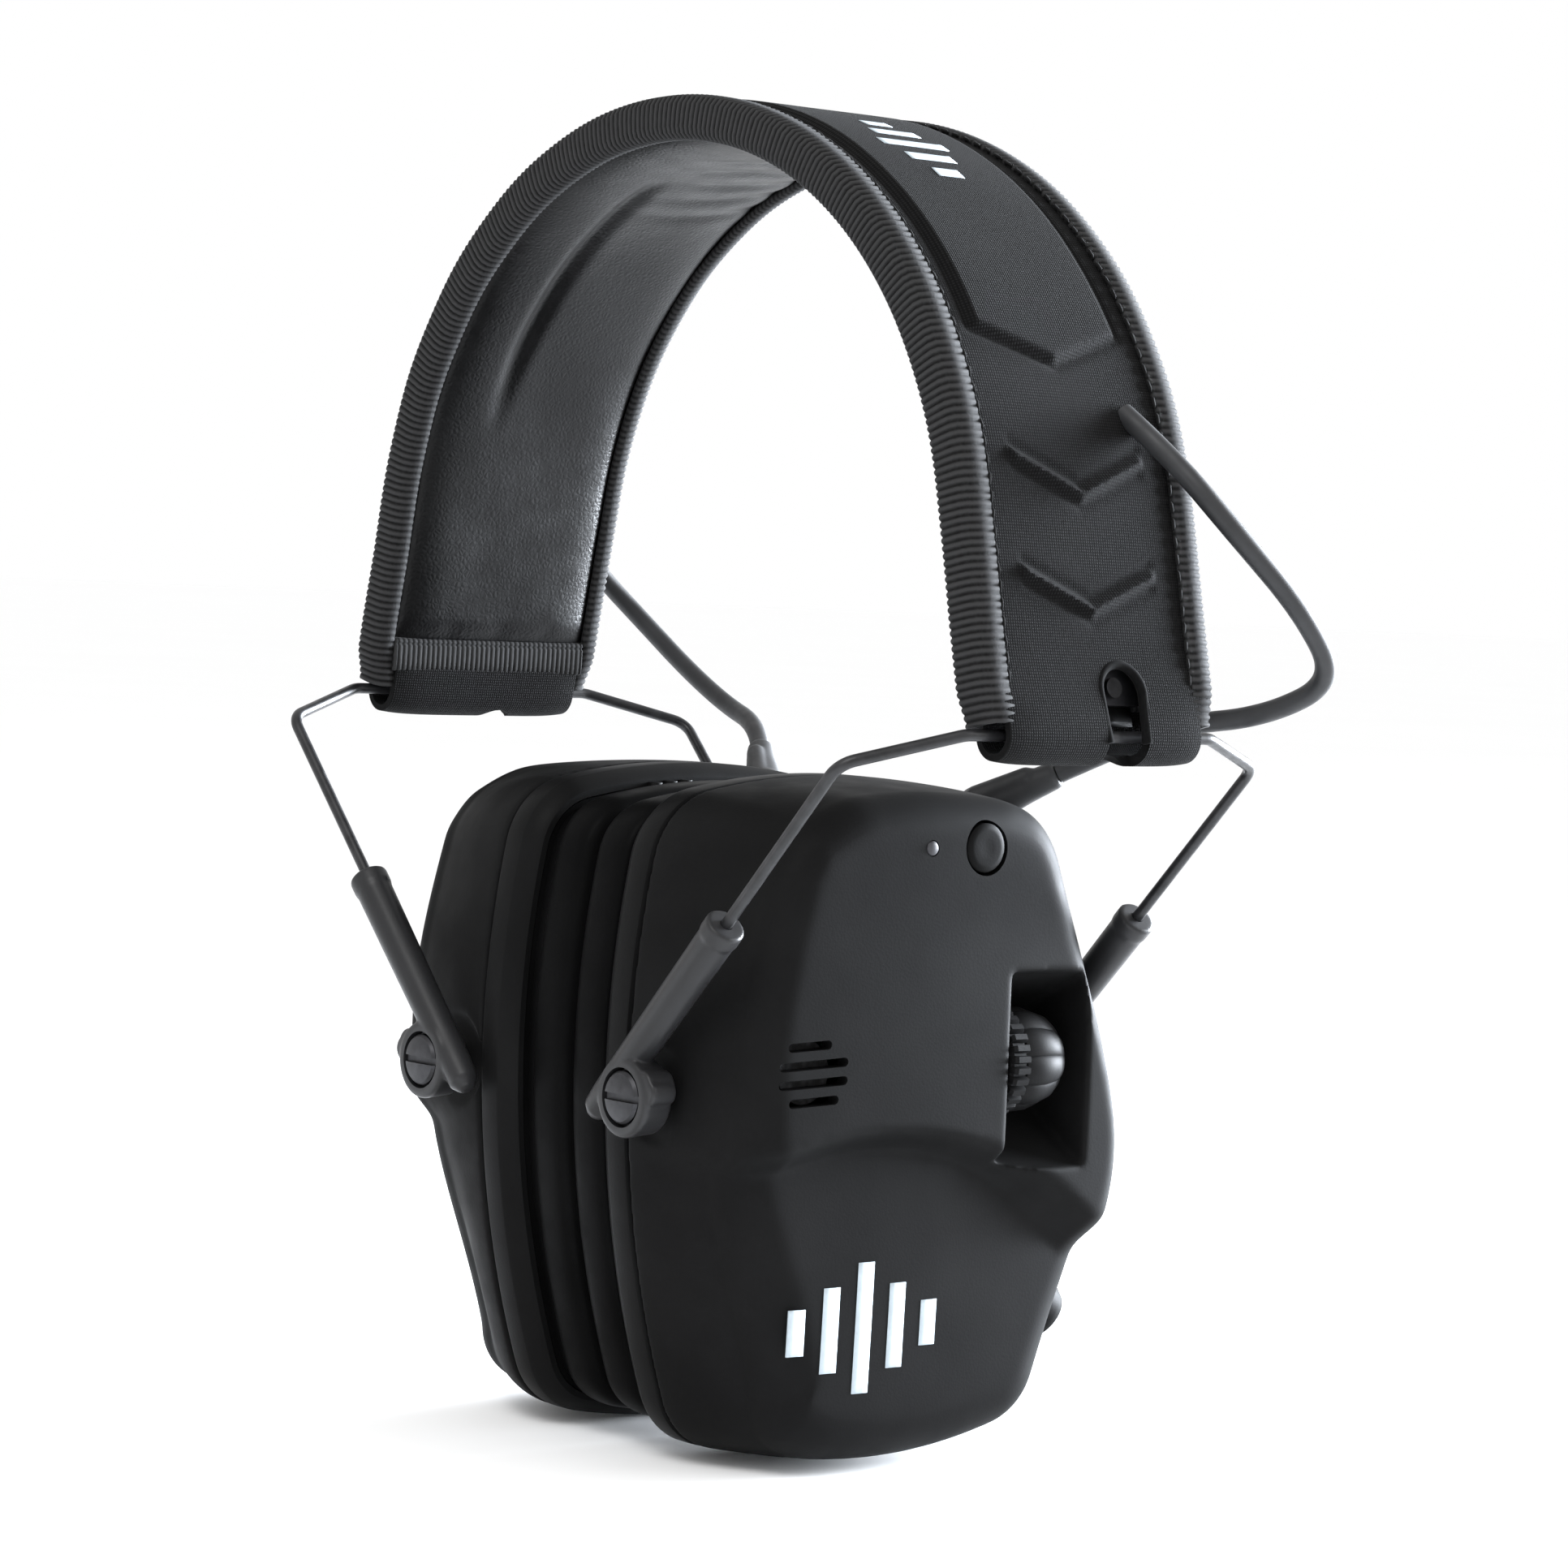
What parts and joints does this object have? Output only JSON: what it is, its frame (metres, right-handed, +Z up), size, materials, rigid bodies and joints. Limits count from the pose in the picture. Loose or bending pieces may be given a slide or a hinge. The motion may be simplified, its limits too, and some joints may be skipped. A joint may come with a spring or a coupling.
{
  "type": "electronic earmuff",
  "caption": "Fold-free over-head hearing protector: padded fabric headband, wire yokes that slide in arms, and slim electronic ear cups with a volume knob, button and audio socket.",
  "frame": {"origin": "middle of the headband pad's inner face at the crown, where a head touches it", "axes": "+X towards the left cup with the controls, +Y towards the back, +Z up"},
  "size_m": [0.1761, 0.0894, 0.2085],
  "materials": {
    "knit_fabric": "woven",
    "leatherette": "grained",
    "grosgrain": "ribbed",
    "spring_steel": "blued",
    "black_wire": "satin",
    "arm_plastic": "satin",
    "shell_plastic": "soft touch",
    "rim_plastic": "satin",
    "cushion_skin": "soft",
    "foam": "open cell",
    "dark_rubber": "satin",
    "knob_plastic": "satin",
    "screw_steel": "satin",
    "rivet_metal": "satin",
    "inner_plastic": "matte",
    "board": "lacquered",
    "speaker_metal": "satin",
    "battery_skin": "satin",
    "light_lens": "clear",
    "lead_rubber": "matte"
  },
  "bodies": {
    "headband": {"band_cover": "knit_fabric", "band_pad": "leatherette", "band_spring": "spring_steel", "signal_lead": "lead_rubber", "binding_front": "grosgrain", "binding_back": "grosgrain", "band_rivets": "rivet_metal", "end_sleeve_left": "knit_fabric", "end_strip_left": "grosgrain", "cable_left": "dark_rubber", "end_sleeve_right": "knit_fabric", "end_strip_right": "grosgrain", "cable_right": "dark_rubber"},
    "left_wire": {"left_wire": "black_wire"},
    "left_yoke": {"left_arm_front": "arm_plastic", "left_arm_back": "arm_plastic"},
    "left_cup": {"left_shell": "shell_plastic", "left_rim": "rim_plastic", "left_cushion_plate": "rim_plastic", "left_cushion": "cushion_skin", "left_foam": "foam", "left_baffle": "inner_plastic", "left_speaker": "speaker_metal", "left_circuit_board": "board", "left_microphone": "speaker_metal", "left_strain_relief": "dark_rubber", "left_pivot_screws": "screw_steel", "left_volume_control": "inner_plastic", "left_audio_socket": "inner_plastic", "left_light": "light_lens"},
    "right_wire": {"right_wire": "black_wire"},
    "right_yoke": {"right_arm_front": "arm_plastic", "right_arm_back": "arm_plastic"},
    "right_cup": {"right_shell": "shell_plastic", "right_rim": "rim_plastic", "right_cushion_plate": "rim_plastic", "right_cushion": "cushion_skin", "right_foam": "foam", "right_baffle": "inner_plastic", "right_speaker": "speaker_metal", "right_circuit_board": "board", "right_microphone": "speaker_metal", "right_strain_relief": "dark_rubber", "right_pivot_screws": "screw_steel", "right_battery_pack": "battery_skin"},
    "left_knob": {"left_knob": "knob_plastic"},
    "left_button": {"left_button": "knob_plastic"}
  },
  "joints": [
    {"name": "left_wire_swing", "type": "hinge", "parent": "headband", "child": "left_wire", "pos_m": [0.07772, 0, -0.08736], "axis": [0, -1, 0], "range_deg": [0, 40], "deforming": ["cable_left"]},
    {"name": "left_height_slide", "type": "slide", "parent": "left_wire", "child": "left_yoke", "axis": [0.6947, 0, 0.7193], "range_m": [0, 0.014], "deforming": ["cable_left"]},
    {"name": "left_cup_pivot", "type": "hinge", "parent": "left_yoke", "child": "left_cup", "pos_m": [0.0262, 0, -0.144], "axis": [0, 1, 0], "range_deg": [0, 40], "deforming": ["cable_left"]},
    {"name": "right_wire_swing", "type": "hinge", "parent": "headband", "child": "right_wire", "pos_m": [-0.07772, 0, -0.08736], "axis": [0, 1, 0], "range_deg": [0, 40], "deforming": ["cable_right"]},
    {"name": "right_height_slide", "type": "slide", "parent": "right_wire", "child": "right_yoke", "axis": [-0.6947, 0, 0.7193], "range_m": [0, 0.014], "deforming": ["cable_right"]},
    {"name": "right_cup_pivot", "type": "hinge", "parent": "right_yoke", "child": "right_cup", "pos_m": [-0.0262, 0, -0.144], "axis": [0, -1, 0], "range_deg": [0, 40], "deforming": ["cable_right"]},
    {"name": "left_knob_turn", "type": "hinge", "parent": "left_cup", "child": "left_knob", "pos_m": [0.0395, 0.017, -0.139], "axis": [0, 1, 0], "range_deg": [0, 270]},
    {"name": "left_button_press", "type": "slide", "parent": "left_cup", "child": "left_button", "axis": [-1, 0, 0], "range_m": [0, 0.0006], "stiffness_N_per_m": 1500, "springref_m": -0.0004}
  ],
  "couplings": [
    {"joint": "left_cup_pivot", "follows": "left_wire_swing", "ratio": 1},
    {"joint": "right_cup_pivot", "follows": "right_wire_swing", "ratio": 1}
  ]
}
